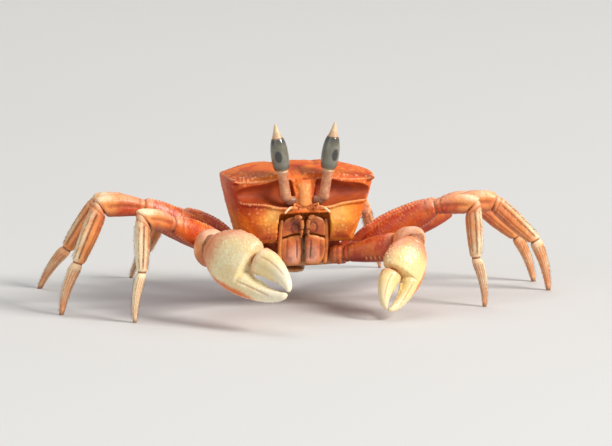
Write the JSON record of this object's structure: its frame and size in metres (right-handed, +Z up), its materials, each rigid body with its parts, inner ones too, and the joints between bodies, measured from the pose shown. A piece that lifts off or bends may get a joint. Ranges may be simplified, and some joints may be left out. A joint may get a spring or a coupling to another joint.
{
  "type": "painted ghost crab",
  "caption": "Life-size painted ghost crab standing alert on spread walking legs, boxy orange carapace, tall grey eyes, one claw larger than the other, both held low in front",
  "frame": {"origin": "the middle of the whole model's footprint box, on the floor it stands on", "axes": "+Z up; the crab faces -Y and its own left side is +X"},
  "size_m": [0.1372, 0.0924, 0.0512],
  "materials": {
    "shell_orange": "bright orange to brick-red shell, finely granular, satin",
    "limb_red": "orange-red limb shell, satin",
    "limb_pale": "pale orange to cream limb shell, satin",
    "claw_cream": "cream claw shell with orange lower edge, smooth satin",
    "underside_cream": "dull cream-orange under shell, satin",
    "cornea_grey": "grey-olive glossy cornea with a darker spot in front",
    "stalk_pale": "pale orange eyestalk, satin"
  },
  "bodies": {
    "root": {"abdomen": "underside_cream", "antenna_left": "limb_pale", "antenna_right": "limb_pale", "carapace": "shell_orange", "cheliped_left_carpus": "limb_red", "cheliped_left_finger": "claw_cream", "cheliped_left_merus": "limb_red", "cheliped_left_palm": "claw_cream", "cheliped_right_carpus": "limb_red", "cheliped_right_finger": "claw_cream", "cheliped_right_merus": "limb_red", "cheliped_right_palm": "claw_cream", "eye_left": "cornea_grey", "eye_right": "cornea_grey", "eye_tip_left": "stalk_pale", "eye_tip_right": "stalk_pale", "eyestalk_left": "stalk_pale", "eyestalk_right": "stalk_pale", "leg_left_1_carpus": "limb_red", "leg_left_1_dactylus": "limb_pale", "leg_left_1_merus": "limb_red", "leg_left_1_propodus": "limb_pale", "leg_left_2_carpus": "limb_red", "leg_left_2_dactylus": "limb_pale", "leg_left_2_merus": "limb_red", "leg_left_2_propodus": "limb_pale", "leg_left_3_carpus": "limb_red", "leg_left_3_dactylus": "limb_pale", "leg_left_3_merus": "limb_red", "leg_left_3_propodus": "limb_pale", "leg_left_4_carpus": "limb_red", "leg_left_4_dactylus": "limb_pale", "leg_left_4_merus": "limb_red", "leg_left_4_propodus": "limb_pale", "leg_right_1_carpus": "limb_red", "leg_right_1_dactylus": "limb_pale", "leg_right_1_merus": "limb_red", "leg_right_1_propodus": "limb_pale", "leg_right_2_carpus": "limb_red", "leg_right_2_dactylus": "limb_pale", "leg_right_2_merus": "limb_red", "leg_right_2_propodus": "limb_pale", "leg_right_3_carpus": "limb_red", "leg_right_3_dactylus": "limb_pale", "leg_right_3_merus": "limb_red", "leg_right_3_propodus": "limb_pale", "leg_right_4_carpus": "limb_red", "leg_right_4_dactylus": "limb_pale", "leg_right_4_merus": "limb_red", "leg_right_4_propodus": "limb_pale", "maxilliped_left": "shell_orange", "maxilliped_right": "shell_orange", "thorax": "underside_cream"}
  },
  "joints": []
}
